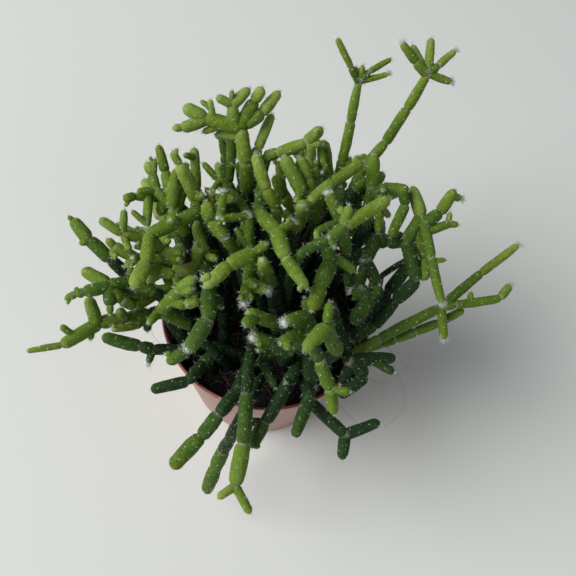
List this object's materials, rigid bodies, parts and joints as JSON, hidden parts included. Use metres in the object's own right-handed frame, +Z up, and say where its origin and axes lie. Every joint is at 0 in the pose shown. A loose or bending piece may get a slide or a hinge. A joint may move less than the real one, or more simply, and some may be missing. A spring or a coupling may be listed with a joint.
{
  "type": "potted rhipsalis",
  "caption": "Small plastic nursery pot of dark peat soil with a dense, branching clump of leafless, jointed green stems of a rhipsalis.",
  "frame": {"origin": "centre of the pot's flat underside, on the surface it stands on", "axes": "+Z up along the pot's axis; the picture looks along +Y and down"},
  "size_m": [0.173, 0.1524, 0.1586],
  "materials": {
    "pot_plastic": "dusty reddish-pink moulded plastic, slightly satin",
    "soil": "moist dark peat with pale root fibres",
    "stem_young": "yellow-green waxy skin with pale bristle tufts",
    "stem_grown": "mid green waxy skin with pale dots",
    "stem_old": "dark blue-green skin with a grey bloom"
  },
  "bodies": {
    "root": {"pot": "pot_plastic", "soil": "soil", "stem_back_1": "stem_grown", "stem_back_2": "stem_grown", "stem_back_3": "stem_grown", "stem_back_4": "stem_grown", "stem_back_5": "stem_grown", "stem_back_6": "stem_grown", "stem_back_7": "stem_grown", "stem_back_bar": "stem_young", "stem_back_dark": "stem_grown", "stem_centre_arch": "stem_young", "stem_centre_bar": "stem_young", "stem_centre_lean": "stem_young", "stem_centre_long": "stem_grown", "stem_centre_run": "stem_young", "stem_centre_short": "stem_young", "stem_crown_dark": "stem_grown", "stem_crown_left": "stem_young", "stem_dark_front": "stem_old", "stem_front_fork": "stem_old", "stem_front_left": "stem_grown", "stem_front_low": "stem_grown", "stem_front_mid": "stem_young", "stem_front_right": "stem_old", "stem_left_bar": "stem_old", "stem_left_column": "stem_young", "stem_left_crook": "stem_young", "stem_left_fork": "stem_young", "stem_left_reach": "stem_young", "stem_left_rim": "stem_old", "stem_left_top_bar": "stem_grown", "stem_left_upper": "stem_grown", "stem_low_bright": "stem_young", "stem_low_yellow": "stem_young", "stem_mid_diagonal": "stem_young", "stem_near_arch": "stem_young", "stem_near_knob": "stem_young", "stem_right_dark": "stem_old", "stem_right_grey": "stem_old", "stem_right_long": "stem_young", "stem_right_pendant": "stem_young", "stem_right_top": "stem_grown", "stem_stalk_left": "stem_young", "stem_stalk_right": "stem_young", "stem_tufted_cross": "stem_young", "stem_tufted_low": "stem_grown", "stem_upper_cross": "stem_young", "stem_upper_lean": "stem_young", "stem_upper_left": "stem_young", "stem_upper_mid": "stem_young"}
  },
  "joints": []
}
